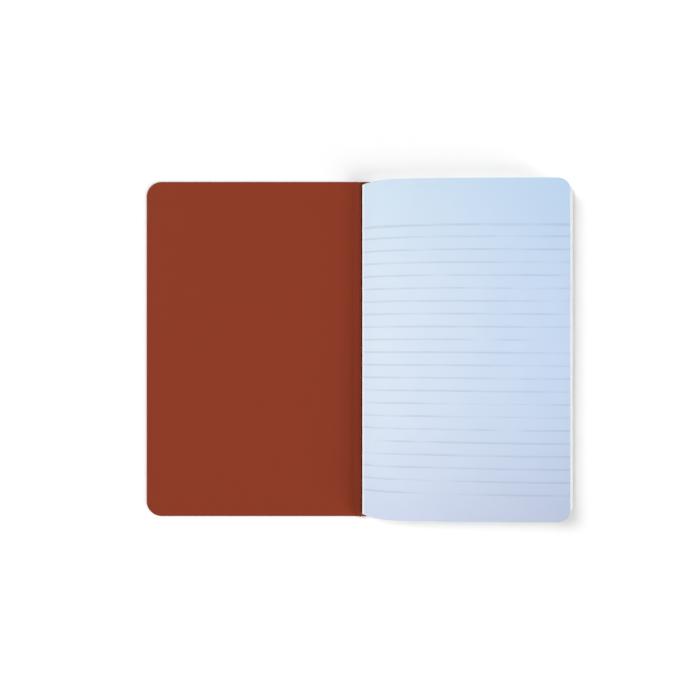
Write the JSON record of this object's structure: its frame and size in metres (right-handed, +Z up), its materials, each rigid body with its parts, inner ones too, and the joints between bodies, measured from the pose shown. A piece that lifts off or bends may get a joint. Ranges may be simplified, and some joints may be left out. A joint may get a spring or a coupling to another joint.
{
  "type": "composition notebook",
  "caption": "Small composition notebook lying open at its first ruled leaf, with card covers that turn on a sewn fold.",
  "frame": {"origin": "on the table, under the fold and halfway between head and tail, which is the middle of the underside of the open book", "axes": "+X from the fold to the fore-edge of the leaves, +Y from tail to head, +Z up from the table"},
  "size_m": [0.2434, 0.1906, 0.0105],
  "materials": {
    "cover_card": "matt red-brown card",
    "leaf_paper": "smooth uncoated writing paper, pale blue on the first leaf and near white at the edges, with pale ruled lines",
    "thread": "dull brown sewing thread"
  },
  "bodies": {
    "back_cover": {"back_cover": "cover_card"},
    "front_cover": {"front_cover": "cover_card"},
    "page_block": {"page_block": "leaf_paper", "binding_thread": "thread"}
  },
  "joints": [
    {"name": "front_cover_hinge", "type": "hinge", "parent": "back_cover", "child": "front_cover", "pos_m": [0, 0, 0.004], "axis": [0, 1, 0], "range_deg": [0, 177.3]},
    {"name": "back_cover_hinge", "type": "hinge", "parent": "back_cover", "child": "page_block", "pos_m": [0, 0, 0.004], "axis": [0, 1, 0], "range_deg": [-177.3, 0]}
  ]
}
